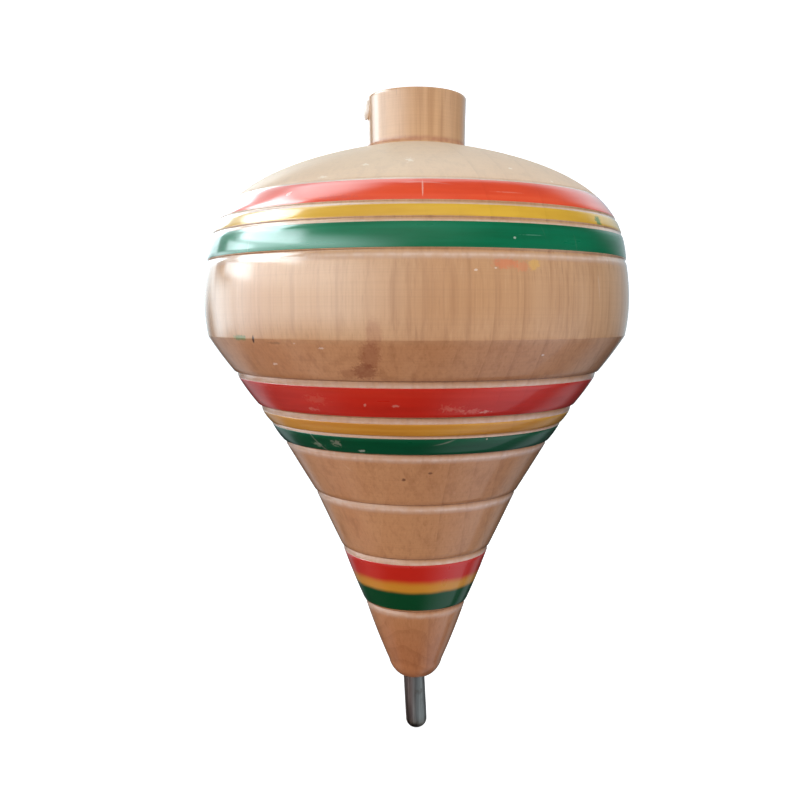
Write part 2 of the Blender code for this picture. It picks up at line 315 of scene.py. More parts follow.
def body_profile():
    """(radius, height) points of the whole body, the painted shade on each groove's upper wall, and the unpainted
    wood and painted highlight on each groove's lower wall.
    """
    rim_radius = HEAD_TOP_RADIUS - HEAD_RIM_ROUND
    points = [(0.0, TOP_HEIGHT), (3.0 * MM, TOP_HEIGHT), (6.5 * MM, TOP_HEIGHT)]
    points += arc((rim_radius, TOP_HEIGHT - HEAD_RIM_ROUND), HEAD_RIM_ROUND, HEAD_RIM_ROUND, 90, 0, 6)
    knob_low = HEAD_BASE_HEIGHT + 0.35 * MM
    for height in spread(TOP_HEIGHT - HEAD_RIM_ROUND, knob_low, 14)[1:]:
        share = (height - knob_low) / (TOP_HEIGHT - knob_low)
        points.append((HEAD_BASE_RADIUS + (HEAD_TOP_RADIUS - HEAD_BASE_RADIUS) * share ** 1.5, height))
    points += arc((HEAD_BASE_RADIUS + 0.35 * MM, knob_low), 0.35 * MM, 0.42 * MM, 180, 255, 4)
    groove_shade_share = [0.0] * len(points)
    bare_and_lit = [0.0] * len(points)
    for height in body_heights()[2:]:
        points.append(skin_point(height, -groove_depth(height) * groove_share(height)))
        part = groove_part(height)
        if part is None:
            groove_shade_share.append(0.0)
            bare_and_lit.append(0.0)
            continue
        # Each groove's steep upper wall gets painted shade, a quarter as strong above the ridge.
        wall = max(0.0, min(1.0, part / 0.10, (0.38 - part) / 0.10))
        groove_shade_share.append(wall * (0.25 if height > RIDGE_HEIGHT else 1.0))
        # Down each groove's lower wall the unpainted wood turns paler, partly a painted highlight, less so in the
        # lowest grooves.
        paleness = 0.6 if height < 30 * MM else 1.0
        bare_and_lit.append(paleness * max(0.0, min(1.0, (part - 0.34) / 0.5)))
    points += foot_end()
    points += [(HOLE_RADIUS + 0.15 * MM, FOOT_HEIGHT), (HOLE_RADIUS, FOOT_HEIGHT + 0.15 * MM)]
    points += [(HOLE_RADIUS, FOOT_HEIGHT + HOLE_DEPTH), (0.0, FOOT_HEIGHT + HOLE_DEPTH)]
    rest = [0.0] * (len(points) - len(groove_shade_share))
    return points, {"groove_shade": groove_shade_share + rest, "groove_bare_and_lit": bare_and_lit + rest}


# ---- Turning and handing over pieces ----------------------------------------------------------

def turn(profile, steps, closed=False, tags=None):
    """A bmesh of a profile spun about Z, closed, with its faces outwards."""
    turned = bmesh.new()
    verts = [turned.verts.new((radius, 0.0, height)) for radius, height in profile]
    for name, values in (tags or {}).items():
        layer = turned.verts.layers.float.new(name)
        verts = list(turned.verts)
        for vert, value in zip(verts, values):
            vert[layer] = value
    edges = [turned.edges.new(pair) for pair in zip(verts, verts[1:])]
    if closed:
        edges.append(turned.edges.new((verts[-1], verts[0])))
    bmesh.ops.spin(turned, geom=verts + edges, axis=(0, 0, 1), cent=(0, 0, 0),
                   angle=math.tau, steps=steps, use_merge=True, use_duplicate=False)
    bmesh.ops.remove_doubles(turned, verts=turned.verts, dist=0.5e-6)
    bmesh.ops.recalc_face_normals(turned, faces=turned.faces)
    return turned


def hand_over(name, shape, finish):
    """Makes a smooth-shaded piece of a bmesh, gives it its finish, and lets it ride on the body."""
    mesh = bpy.data.meshes.new(name)
    shape.to_mesh(mesh)
    shape.free()
    mesh.shade_smooth()
    mesh.materials.append(finish)
    piece = bpy.data.objects.new(name, mesh)
    bpy.context.scene.collection.objects.link(piece)
    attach(piece, "root")
    return piece


def place_on_skin(degrees, height_mm, lift=0.0):
    """Point on the surface; 0 degrees faces the front (-Y) and 90 degrees is at the right (+X)."""
    radius, height = skin_point(height_mm * MM, lift)
    angle = math.radians(degrees)
    return Vector((radius * math.sin(angle), -radius * math.cos(angle), height))


# ---- Node helpers -----------------------------------------------------------------------------

def add(tree, kind, inputs=None, **settings):
    """Adds a node, sets its settings, and links or sets its inputs."""
    node = tree.nodes.new("ShaderNode" + kind)
    for key, value in settings.items():
        setattr(node, key, value)
    for key, value in (inputs or {}).items():
        if isinstance(value, bpy.types.NodeSocket):
            tree.links.new(value, node.inputs[key])
        else:
            node.inputs[key].default_value = value
    return node


def calc(tree, operation, first, second=0.5, third=0.5, clamp=False):
    """The result of a Math node."""
    inputs = {0: first, 1: second, 2: third}
    return add(tree, "Math", inputs, operation=operation, use_clamp=clamp).outputs[0]


def ease(tree, value, low, high, start=0.0, end=1.0):
    """A smooth step from start to end as the value goes from low to high."""
    inputs = {"Value": value, "From Min": low, "From Max": high, "To Min": start, "To Max": end}
    return add(tree, "MapRange", inputs, interpolation_type="SMOOTHSTEP").outputs[0]


def tint(tree, share, first, second, how="MIX"):
    """A mix of two colours."""
    inputs = {0: share, 6: first, 7: second}
    return add(tree, "Mix", inputs, data_type="RGBA", blend_type=how).outputs[2]


def cloud(tree, place, scale, detail=2.0, roughness=0.5):
    """The value of a noise pattern."""
    inputs = {"Vector": place, "Scale": scale, "Detail": detail, "Roughness": roughness}
    return add(tree, "TexNoise", inputs).outputs["Fac"]


def stretched(tree, place, scale, turned=(0.0, 0.0, 0.0), shift=(0.0, 0.0, 0.0)):
    """Coordinates scaled, turned and shifted for a pattern."""
    inputs = {"Vector": place, "Location": shift, "Rotation": turned, "Scale": scale}
    return add(tree, "Mapping", inputs).outputs[0]


def shade(colour, share=1.0):
    """A colour socket's value."""
    return (colour[0] * share, colour[1] * share, colour[2] * share, 1.0)


def new_group(name, inputs, outputs):
    """A shader node group with named sockets, and its input and output nodes."""
    group = bpy.data.node_groups.new(name, "ShaderNodeTree")
    kinds = {"value": "NodeSocketFloat", "vector": "NodeSocketVector", "colour": "NodeSocketColor"}
    for socket_name, kind, start in inputs:
        socket = group.interface.new_socket(socket_name, in_out="INPUT", socket_type=kinds[kind])
        if start is not None:
            socket.default_value = start
    for socket_name, kind in outputs:
        group.interface.new_socket(socket_name, in_out="OUTPUT", socket_type=kinds[kind])
    return group, group.nodes.new("NodeGroupInput").outputs, group.nodes.new("NodeGroupOutput").inputs


def use_group(tree, group, inputs):
    """Places a node group in a tree and returns its outputs."""
    node = add(tree, "Group", node_tree=group)
    for key, value in inputs.items():
        if isinstance(value, bpy.types.NodeSocket):
            tree.links.new(value, node.inputs[key])
        else:
            node.inputs[key].default_value = value
    return node.outputs


# ---- Shared effects ---------------------------------------------------------------------------

PITH = (80.0 * MM, -5.0 * MM)
RING_WIDTH = 4.85 * MM
RING_START = 0.22


def make_wood_figure():
    """Growth rings about a pith outside the blank, with fibres and pores along the grain."""
    group, given, out = new_group(
        "wood_figure", [("Place", "vector", None)],
        [("Colour", "colour"), ("Relief", "value"), ("Dark", "value")])
    place = given["Place"]
    bend = add(group, "TexNoise", {"Vector": stretched(group, place, (28.0, 28.0, 4.0)),
                                   "Scale": 1.0, "Detail": 2.0}).outputs["Color"]
    bent_height = cloud(group, stretched(group, place, (90.0, 90.0, 60.0), shift=(0.0, 7.0, 0.0)), 1.0, 2.0)
    bent = add(group, "VectorMath", {0: bend, 1: (0.5, 0.5, 0.5)}, operation="SUBTRACT").outputs[0]
    bent = add(group, "VectorMath", {0: bent, 1: (0.6 * MM, 0.6 * MM, 0.0)}, operation="MULTIPLY").outputs[0]
    bent = add(group, "VectorMath", {0: bent, 1: place}, operation="ADD").outputs[0]
    split = add(group, "SeparateXYZ", {0: bent}).outputs
    across = calc(group, "SUBTRACT", split[0], PITH[0])
    across = calc(group, "MULTIPLY_ADD", calc(group, "SUBTRACT", split[2], 86 * MM), -0.02, across)
    along = calc(group, "SUBTRACT", split[1], PITH[1])
    along = calc(group, "MULTIPLY_ADD", calc(group, "SUBTRACT", split[2], 86 * MM), 0.01, along)
    distance = calc(group, "SQRT", calc(group, "ADD", calc(group, "MULTIPLY", across, across),
                                        calc(group, "MULTIPLY", along, along)))
    years = calc(group, "ADD", calc(group, "DIVIDE", distance, RING_WIDTH), RING_START)
    year = calc(group, "FLOOR", years)
    season = calc(group, "FRACT", years)
    luck = add(group, "TexWhiteNoise", {"W": year}, noise_dimensions="1D").outputs["Value"]
    tone = add(group, "TexWhiteNoise", {"W": calc(group, "ADD", year, 41.0)},
               noise_dimensions="1D").outputs["Value"]
    late = calc(group, "MULTIPLY", calc(group, "POWER", season, 9.0), ease(group, season, 0.965, 0.995, 1.0, 0.0))
    strength = ease(group, luck, 0.0, 1.0, 0.35, 0.75)
    broken = cloud(group, stretched(group, place, (500.0, 500.0, 70.0), shift=(1.0, 2.0, 3.0)), 1.0, 2.0)
    strength = calc(group, "MULTIPLY", strength, ease(group, broken, 0.30, 0.62, 0.15, 1.0))
    sided = ease(group, add(group, "SeparateXYZ", {0: place}).outputs[0], -2 * MM, 5 * MM, 0.12, 1.0)
    line = calc(group, "MULTIPLY", late, calc(group, "MULTIPLY", strength, sided))

    fine = cloud(group, stretched(group, place, (2300.0, 2300.0, 50.0)), 1.0, 3.0, 0.65)
    streak = cloud(group, stretched(group, place, (620.0, 620.0, 12.0)), 1.0, 3.0, 0.6)
    broad = cloud(group, stretched(group, place, (60.0, 60.0, 8.0)), 1.0, 2.0, 0.5)
    patch = cloud(group, stretched(group, place, (26.0, 26.0, 14.0), shift=(3.1, 0.0, 7.7)), 1.0, 2.0, 0.5)
    pore_field = cloud(group, stretched(group, place, (2600.0, 2600.0, 240.0)), 1.0, 1.0, 0.5)
    pore = ease(group, pore_field, 0.70, 0.80)

    pale = shade((0.69, 0.425, 0.225))
    warm = shade((0.61, 0.335, 0.155))
    deep = shade((0.38, 0.175, 0.070))
    colour = tint(group, ease(group, broad, 0.35, 0.68), pale, warm)
    colour = tint(group, calc(group, "MULTIPLY", ease(group, patch, 0.45, 0.75), 0.5), colour,
                  shade((0.62, 0.335, 0.18)))
    colour = tint(group, calc(group, "MULTIPLY", ease(group, tone, 0.2, 0.9), 0.25), colour, warm)
    colour = tint(group, calc(group, "MULTIPLY", ease(group, streak, 0.46, 0.74), 0.40), colour, deep)
    colour = tint(group, calc(group, "MULTIPLY", ease(group, fine, 0.48, 0.80), 0.36), colour, deep)
    colour = tint(group, calc(group, "MULTIPLY", ease(group, fine, 0.48, 0.22), 0.22), colour,
                  shade((0.78, 0.52, 0.31)))
    colour = tint(group, line, colour, deep)
    point = add(group, "SeparateXYZ", {0: place}).outputs
    off = calc(group, "ADD", point[0], 1.5 * MM)
    arch = calc(group, "MULTIPLY_ADD", calc(group, "MULTIPLY", off, off), 130.0, point[2])
    arch = calc(group, "MULTIPLY_ADD", calc(group, "SUBTRACT", bent_height, 0.5), 9 * MM, arch)
    arch = calc(group, "FRACT", calc(group, "DIVIDE", arch, 3.4 * MM))
    flame = calc(group, "MULTIPLY", ease(group, arch, 0.45, 0.9), ease(group, arch, 0.93, 1.0, 1.0, 0.0))
    flame = calc(group, "MULTIPLY", flame, ease(group, point[2], 31 * MM, 24 * MM))
    flame = calc(group, "MULTIPLY", flame, ease(group, point[0], 5.0 * MM, 2.0 * MM))
    colour = tint(group, calc(group, "MULTIPLY", flame, 0.24), colour, deep)
    colour = tint(group, calc(group, "MULTIPLY", pore, 0.22), colour, shade((0.22, 0.10, 0.045)))
    group.links.new(colour, out["Colour"])
    relief = calc(group, "MULTIPLY_ADD", pore, -1.0, calc(group, "MULTIPLY", fine, 0.4))
    group.links.new(relief, out["Relief"])
    group.links.new(line, out["Dark"])
    return group


def make_lathe_lines():
    """Fine lines round the piece, left by the turning tool and by sanding on the lathe."""
    group, given, out = new_group(
        "lathe_lines", [("Place", "vector", None)], [("Lines", "value"), ("Waves", "value")])
    place = given["Place"]
    fine = cloud(group, stretched(group, place, (30.0, 30.0, 4200.0)), 1.0, 2.0, 0.6)
    wide = cloud(group, stretched(group, place, (10.0, 10.0, 1100.0), shift=(0.0, 0.0, 4.0)), 1.0, 1.0, 0.5)
    group.links.new(fine, out["Lines"])
    group.links.new(wide, out["Waves"])
    return group


def make_handling_marks():
    """Hairline scratches and small chips from play."""
    group, given, out = new_group(
        "handling_marks", [("Place", "vector", None), ("Amount", "value", 0.5)],
        [("Scratches", "value"), ("Chips", "value")])
    place = given["Place"]
    total = None
    directions = ((0.35, 0.6, 0.2), (1.25, 0.2, 0.9), (0.7, 1.2, 2.1), (-0.5, 0.3, 1.3))
    for index, turned in enumerate(directions):
        field = stretched(group, place, (55.0, 2400.0, 55.0), turned, (index * 3.7, index * 1.9, 0.0))
        sliver = ease(group, cloud(group, field, 1.0, 0.0), 0.775, 0.84)
        spell = cloud(group, stretched(group, place, (75.0, 75.0, 75.0), shift=(index * 9.1, 0.0, 2.0)), 1.0, 1.0)
        limit = calc(group, "MULTIPLY_ADD", given["Amount"], -0.30, 0.74)
        sliver = calc(group, "MULTIPLY", sliver, ease(group, calc(group, "SUBTRACT", spell, limit), 0.0, 0.08))
        total = sliver if total is None else calc(group, "MAXIMUM", total, sliver)
    group.links.new(total, out["Scratches"])
    spots = add(group, "TexVoronoi", {"Vector": place, "Scale": 900.0}).outputs["Distance"]
    ragged = calc(group, "MULTIPLY_ADD", cloud(group, place, 3200.0, 2.0), 0.5, spots)
    spell = cloud(group, stretched(group, place, (130.0, 130.0, 130.0), shift=(5.0, 5.0, 5.0)), 1.0, 2.0)
    limit = calc(group, "MULTIPLY_ADD", given["Amount"], -0.20, 0.82)
    chips = calc(group, "MULTIPLY", ease(group, ragged, 0.42, 0.36),
                 ease(group, calc(group, "SUBTRACT", spell, limit), 0.0, 0.04))
    group.links.new(chips, out["Chips"])
    return group


def make_spot_mark():
    """A ragged spot at one place, for stains, dents, chips and knots."""
    group, given, out = new_group(
        "spot_mark", [("Place", "vector", None), ("Centre", "vector", None), ("Reach", "vector", None),
                      ("Ragged", "value", 0.5)], [("Mask", "value")])
    offset = add(group, "VectorMath", {0: given["Place"], 1: given["Centre"]}, operation="SUBTRACT").outputs[0]
    offset = add(group, "VectorMath", {0: offset, 1: given["Reach"]}, operation="DIVIDE").outputs[0]
    away = add(group, "VectorMath", {0: offset}, operation="LENGTH").outputs["Value"]
    torn = calc(group, "SUBTRACT", cloud(group, given["Place"], 2100.0, 3.0, 0.65), 0.5)
    away = calc(group, "MULTIPLY_ADD", torn, calc(group, "MULTIPLY", given["Ragged"], 4.0), away)
    group.links.new(ease(group, away, 1.15, 0.55), out["Mask"])
    return group


def dab(tree, spot, place, colour, marks):
    """Paints marks over a colour; also returns where the marks are."""
    dents = None
    for degrees, height_mm, half_width, half_height, ragged, mark_colour, strength in marks:
        depth = half_width if half_width > half_height else 2.2 * half_height
        mask = use_group(tree, spot, {
            "Place": place, "Centre": place_on_skin(degrees, height_mm),
            "Reach": (half_width * MM, depth * MM, half_height * MM), "Ragged": ragged})["Mask"]
        mask = calc(tree, "MULTIPLY", mask, strength)
        colour = tint(tree, mask, colour, shade(mark_colour))
        dents = mask if dents is None else calc(tree, "MAXIMUM", dents, mask)
    return colour, dents


# ---- Finishes ---------------------------------------------------------------------------------

def new_finish(name):
    """A material with its tree, its Principled shader and its Object coordinates."""
    finish = bpy.data.materials.new(name)
    finish.use_nodes = True
    tree = finish.node_tree
    shader = tree.nodes["Principled BSDF"]
    place = add(tree, "TexCoord").outputs["Object"]
    return finish, tree, shader, place


def lacquer(shader, rough=0.07, weight=1.0):
    """The clear coat over wood and paint."""
    shader.inputs["Coat Weight"].default_value = weight
    shader.inputs["Coat Roughness"].default_value = rough
    shader.inputs["Coat IOR"].default_value = 1.5
    shader.inputs["IOR"].default_value = 1.45


def make_wood_finish(figure, lathe, marks, spot):
    """Unpainted turned wood under clear lacquer, with painted shade and painted highlights in its grooves and a
    painted sheen on its dome.
    """
    finish, tree, shader, place = new_finish("lacquered_wood")
    wood = use_group(tree, figure, {"Place": place})
    lines = use_group(tree, lathe, {"Place": place})
    wear = use_group(tree, marks, {"Place": place, "Amount": 0.35})
    colour = tint(tree, calc(tree, "MULTIPLY", ease(tree, lines["Lines"], 0.35, 0.75), 0.13),
                  wood["Colour"], shade((0.40, 0.22, 0.11)))
    height = add(tree, "SeparateXYZ", {0: place}).outputs[2]
    # The wood is coloured darker below the ridge and again towards the foot.
    darker_below_ridge = ease(tree, height, RIDGE_HEIGHT + 0.8 * MM, RIDGE_HEIGHT - 1.2 * MM)
    colour = tint(tree, darker_below_ridge, colour, shade((0.93, 0.81, 0.72)), "MULTIPLY")
    darker_towards_foot = ease(tree, height, 36 * MM, 15 * MM)
    colour = tint(tree, darker_towards_foot, colour, shade((0.85, 0.71, 0.67)), "MULTIPLY")
    colour, dents = dab(tree, spot, place, colour, WOOD_MARKS)
    # A patchy noise that varies the grooves' painted shade, their unpainted wood and painted highlight, and the
    # collar.
    grime_and_shade = cloud(tree, place, 900.0, 3.0)
    # Painted highlight: the grooves' unpainted lower walls are painted paler, palest at their lower edge.
    bare_and_lit = add(tree, "Attribute", attribute_name="groove_bare_and_lit").outputs["Fac"]
    lip_highlight = calc(tree, "POWER", bare_and_lit, 3.0)
    bare_wood_and_highlight = tint(tree, lip_highlight, shade((0.58, 0.37, 0.25)), shade((0.78, 0.60, 0.47)))
    colour = tint(tree, calc(tree, "MULTIPLY", ease(tree, bare_and_lit, 0.0, 0.6), ease(tree, grime_and_shade, 0.2, 0.7, 0.85, 0.45)),
                  colour, bare_wood_and_highlight)
    # Painted shade: each groove's steep upper wall is darkened, patchily.
    groove_shade_mask = add(tree, "Attribute", attribute_name="groove_shade").outputs["Fac"]
    groove_shade_mask = calc(tree, "MULTIPLY", groove_shade_mask, ease(tree, grime_and_shade, 0.3, 0.6, 0.45, 0.85))
    colour = tint(tree, groove_shade_mask, colour, shade((0.16, 0.085, 0.05)))
    collar = calc(tree, "MULTIPLY", ease(tree, height, HEAD_BASE_HEIGHT, HEAD_BASE_HEIGHT + 0.3 * MM),
                  ease(tree, height, HEAD_BASE_HEIGHT + 1.3 * MM, HEAD_BASE_HEIGHT + 0.6 * MM))
    colour = tint(tree, calc(tree, "MULTIPLY", collar, ease(tree, grime_and_shade, 0.3, 0.7, 0.35, 0.7)), colour,
                  shade((0.40, 0.15, 0.085)))
    colour = tint(tree, calc(tree, "MULTIPLY", wear["Scratches"], 0.35), colour, shade((0.80, 0.66, 0.52)))
    colour = tint(tree, calc(tree, "MULTIPLY", wear["Chips"], 0.6), colour, shade((0.88, 0.74, 0.60)))
    rough = ease(tree, wood["Dark"], 0.0, 1.0, 0.34, 0.5)
    rough = calc(tree, "MULTIPLY_ADD", wear["Scratches"], 0.2, rough)
    relief = calc(tree, "MULTIPLY_ADD", lines["Lines"], 0.35, wood["Relief"])
    relief = calc(tree, "MULTIPLY_ADD", wear["Scratches"], -0.8, relief)
    relief = calc(tree, "MULTIPLY_ADD", dents, -3.0, relief)
    bump = add(tree, "Bump", {"Strength": 0.35, "Distance": 0.03 * MM, "Height": relief})
    tree.links.new(bump.outputs[0], shader.inputs["Normal"])
    lacquer(shader)
    below_head = ease(tree, height, 104.0 * MM, 104.5 * MM)
    on_head = ease(tree, height, HEAD_BASE_HEIGHT + 0.4 * MM, HEAD_BASE_HEIGHT + 0.8 * MM)
    thin = calc(tree, "SUBTRACT", below_head, on_head, clamp=True)
    tree.links.new(calc(tree, "MULTIPLY_ADD", thin, 0.3, rough), shader.inputs["Roughness"])
    # Painted sheen: the dome between the upper red ring and the head is painted paler where its lacquer is thin.
    dome_sheen_reach = ease(tree, height, HEAD_BASE_HEIGHT + 0.05 * MM, HEAD_BASE_HEIGHT - 0.15 * MM)
    pale = tint(tree, calc(tree, "MULTIPLY", calc(tree, "MULTIPLY", thin, dome_sheen_reach), 0.5), colour,
                shade((0.98, 0.85, 0.68)))
    tree.links.new(pale, shader.inputs["Base Color"])
    tree.links.new(calc(tree, "MULTIPLY_ADD", thin, -0.88, 1.0), shader.inputs["Coat Weight"])
    return finish


def make_ring_paint(name, figure, lathe, marks, spot, spots, base, shadow, light, bleed=0.03):
    """A ring's thin glossy paint, put on with a brush while the body turned."""
    finish, tree, shader, place = new_finish(name)
    wood = use_group(tree, figure, {"Place": place})
    lines = use_group(tree, lathe, {"Place": place})
    wear = use_group(tree, marks, {"Place": place, "Amount": 0.55})
    cover = cloud(tree, stretched(tree, place, (60.0, 60.0, 420.0)), 1.0, 3.0, 0.55)
    colour = tint(tree, ease(tree, cover, 0.30, 0.72), shade(base), shade(shadow))
    colour = tint(tree, calc(tree, "MULTIPLY", ease(tree, lines["Waves"], 0.45, 0.75), 0.35), colour,
                  shade(light))
    colour = tint(tree, bleed, colour, wood["Colour"])
    colour = tint(tree, calc(tree, "MULTIPLY", wood["Dark"], 0.25), colour, shade(shadow, 0.6))
    colour = tint(tree, calc(tree, "MULTIPLY", wear["Scratches"], 0.18), colour, shade((0.85, 0.70, 0.60)))
    colour = tint(tree, calc(tree, "MULTIPLY", wear["Chips"], 0.75), colour, shade((0.80, 0.62, 0.50)))
    colour, dents = dab(tree, spot, place, colour, spots)
    tree.links.new(colour, shader.inputs["Base Color"])
    rough = ease(tree, cover, 0.2, 0.8, 0.26, 0.38)
    rough = calc(tree, "MULTIPLY_ADD", wear["Chips"], 0.25, rough)
    tree.links.new(rough, shader.inputs["Roughness"])
    height = calc(tree, "MULTIPLY_ADD", lines["Lines"], 0.3, calc(tree, "MULTIPLY", wear["Scratches"], -0.8))
    height = calc(tree, "MULTIPLY_ADD", wear["Chips"], -1.0, height)
    if dents is not None:
        height = calc(tree, "MULTIPLY_ADD", dents, -2.0, height)
    bump = add(tree, "Bump", {"Strength": 0.3, "Distance": 0.03 * MM, "Height": height})
    tree.links.new(bump.outputs[0], shader.inputs["Normal"])
    lacquer(shader)
    return finish


def make_faded_paint(name, figure, lathe, marks):
    """The lowest rings, whose wet colours ran into one another."""
    finish, tree, shader, place = new_finish(name)
    wood = use_group(tree, figure, {"Place": place})
    lines = use_group(tree, lathe, {"Place": place})
    wear = use_group(tree, marks, {"Place": place, "Amount": 0.6})
    height = add(tree, "SeparateXYZ", {0: place}).outputs[2]
    wander = cloud(tree, stretched(tree, place, (140.0, 140.0, 60.0)), 1.0, 2.0)
    level = calc(tree, "MULTIPLY_ADD", wander, 0.8 * MM, calc(tree, "SUBTRACT", height, 0.4 * MM))
    red = shade((0.60, 0.022, 0.011))
    yellow = shade((0.66, 0.285, 0.028))
    green = shade((0.0, 0.060, 0.016))
    colour = tint(tree, ease(tree, level, 32.9 * MM, 34.6 * MM), yellow, red)
    colour = tint(tree, ease(tree, level, 31.2 * MM, 32.2 * MM, 1.0, 0.0), colour, green)
    colour = tint(tree, 0.002, colour, wood["Colour"])
    colour = tint(tree, calc(tree, "MULTIPLY", wear["Scratches"], 0.35), colour, shade((0.85, 0.70, 0.60)))
    colour = tint(tree, calc(tree, "MULTIPLY", wear["Chips"], 0.7), colour, shade((0.80, 0.62, 0.50)))
    tree.links.new(colour, shader.inputs["Base Color"])
    tree.links.new(ease(tree, wander, 0.2, 0.8, 0.26, 0.38), shader.inputs["Roughness"])
    bump = add(tree, "Bump", {"Strength": 0.3, "Distance": 0.03 * MM, "Height": lines["Lines"]})
    tree.links.new(bump.outputs[0], shader.inputs["Normal"])
    lacquer(shader)
    return finish


def make_set_lacquer():
    """Lacquer that set thick and milky over the wood."""
    finish, tree, shader, place = new_finish("set_lacquer")
    milk = cloud(tree, place, 1300.0, 3.0)
    colour = tint(tree, ease(tree, milk, 0.3, 0.7), shade((0.92, 0.82, 0.70)), shade((0.97, 0.92, 0.86)))
    tree.links.new(colour, shader.inputs["Base Color"])
    tree.links.new(ease(tree, milk, 0.2, 0.8, 0.22, 0.34), shader.inputs["Roughness"])
    lacquer(shader)
    return finish


def make_tip_steel(marks):
    """Drawn wire: grey steel with streaks along it, worn at its end, with painted light on its right side, painted
    shade on its left and a painted reflection down its front.
    """
    finish, tree, shader, place = new_finish("tip_steel")
    wear = use_group(tree, marks, {"Place": place, "Amount": 0.9})
    streak = cloud(tree, stretched(tree, place, (2600.0, 2600.0, 120.0)), 1.0, 3.0, 0.6)
    stain = cloud(tree, place, 420.0, 3.0, 0.6)
    across = add(tree, "SeparateXYZ", {0: place}).outputs[0]
    # Painted light and shade: the steel is painted brighter on its right side and darker and browner on its left.
    painted_lit_side = ease(tree, across, -1.3 * MM, 1.7 * MM)
    shaded_steel = tint(tree, ease(tree, streak, 0.3, 0.7), shade((0.135, 0.080, 0.071)), shade((0.225, 0.150, 0.130)))
    lit_steel = tint(tree, ease(tree, streak, 0.3, 0.7), shade((0.45, 0.44, 0.42)), shade((0.74, 0.73, 0.70)))
    colour = tint(tree, painted_lit_side, shaded_steel, lit_steel)
    # Painted reflection: a dark bluish band running down just right of its middle.
    painted_reflection_band = calc(tree, "MULTIPLY", ease(tree, across, -0.1 * MM, 0.25 * MM), ease(tree, across, 0.9 * MM, 0.5 * MM))
    colour = tint(tree, calc(tree, "MULTIPLY", painted_reflection_band, 0.25), colour, shade((0.10, 0.125, 0.135)))
    colour = tint(tree, calc(tree, "MULTIPLY", ease(tree, stain, 0.5, 0.72), 0.5), colour,
                  shade((0.16, 0.10, 0.06)))
    height = add(tree, "SeparateXYZ", {0: place}).outputs[2]
    end = ease(tree, height, 3.2 * MM, 0.8 * MM)
    colour = tint(tree, calc(tree, "MULTIPLY", end, 0.55), colour, shade((0.20, 0.12, 0.07)))
    tree.links.new(colour, shader.inputs["Base Color"])
    shader.inputs["Metallic"].default_value = 1.0
    tree.links.new(ease(tree, streak, 0.25, 0.75, 0.30, 0.46), shader.inputs["Roughness"])
    bump = add(tree, "Bump", {"Strength": 0.4, "Distance": 0.03 * MM,
                              "Height": calc(tree, "MULTIPLY_ADD", wear["Scratches"], -1.0, streak)})
    tree.links.new(bump.outputs[0], shader.inputs["Normal"])
    return finish


# ---- Pieces -----------------------------------------------------------------------------------

def make_body(finish):
    """The turned body, with its hole leaning as the tip does."""
    profile, tags = body_profile()
    shape = turn(profile, BODY_STEPS, tags=tags)
    hole = [v for v in shape.verts
            if v.co.z < FOOT_HEIGHT + HOLE_DEPTH + MM and math.hypot(v.co.x, v.co.y) < HOLE_RADIUS + 0.2 * MM]
    for vert in hole:
        vert.co.x -= (vert.co.z - LEAN_PIVOT_HEIGHT) * math.tan(LEAN)
    body = hand_over("turned_wood_body", shape, finish)
    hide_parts("turned_body")
    return body


def make_ring(name, finish):
    """A closed film of paint on one land, with its free edges let into the wood."""
    upper, lower = (edge * MM for edge in PAINTED_RINGS[name])
    edge_width = 0.07 * MM
    heights = [height for height in body_heights() if lower + edge_width < height < upper - edge_width]
    outer = [skin_point(height, FILM_THICKNESS) for height in heights]
    start = [skin_point(upper, -0.01 * MM), skin_point(upper - 0.02 * MM, FILM_THICKNESS * 0.6),
             skin_point(upper - edge_width, FILM_THICKNESS)]
    end = [skin_point(lower + edge_width, FILM_THICKNESS), skin_point(lower + 0.02 * MM, FILM_THICKNESS * 0.6),
           skin_point(lower, -0.01 * MM)]
    outer = start + outer + end
    inner = [skin_point(height, -FILM_ROOT) for height in reversed([upper] + heights + [lower])]
    return hand_over(name, turn(outer + inner, BODY_STEPS, closed=True), finish)


def make_lacquer_drip(finish):
    """A drop of lacquer that ran over the head's rim and set on its side."""
    drop = bmesh.new()
    bmesh.ops.create_icosphere(drop, subdivisions=4, radius=1.0)
    for vert in drop.verts:
        up = vert.co.z
        waist = 1.0 - 0.30 * max(0.0, -up) ** 2 - 0.25 * max(0.0, up) ** 2
        vert.co.x = vert.co.x * 0.75 * waist + 0.22 * up
        vert.co.y = vert.co.y * 1.25 * waist + 0.15 * math.sin(2.5 * up)
        vert.co.z = up * 2.2
    bmesh.ops.scale(drop, verts=drop.verts, vec=(MM, MM, MM))
    bmesh.ops.translate(drop, verts=drop.verts, vec=(-HEAD_TOP_RADIUS + 0.05 * MM, 0.0, TOP_HEIGHT - 2.3 * MM))
    turned = Matrix.Rotation(math.radians(14.0), 3, "Z")
    bmesh.ops.rotate(drop, verts=drop.verts, cent=(0, 0, 0), matrix=turned)
    bmesh.ops.recalc_face_normals(drop, faces=drop.faces)
    return hand_over("lacquer_drip", drop, finish)


def make_tip(finish):
    """The steel tip, leaning, with a round end."""
    length = 14.5 * MM
    profile = [(0.0, length), (TIP_RADIUS, length)]
    profile += [(TIP_RADIUS, height) for height in spread(length - 0.5 * MM, 2.6 * MM, 10)]
    profile += arc((0.0, 1.8 * MM), TIP_RADIUS - 0.02 * MM, 1.8 * MM, 0, -90, 12)
    shape = turn(profile[:-1] + [(0.0, 0.0)], TIP_STEPS)
    pivot = Vector((0.0, 0.0, LEAN_PIVOT_HEIGHT))
    bmesh.ops.rotate(shape, verts=shape.verts, cent=pivot, matrix=Matrix.Rotation(-LEAN, 3, "Y"))
    tip = hand_over("driven_steel_tip", shape, finish)
    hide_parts("steel_tip")
    return tip


# ---- Stage, light and camera ------------------------------------------------------------------

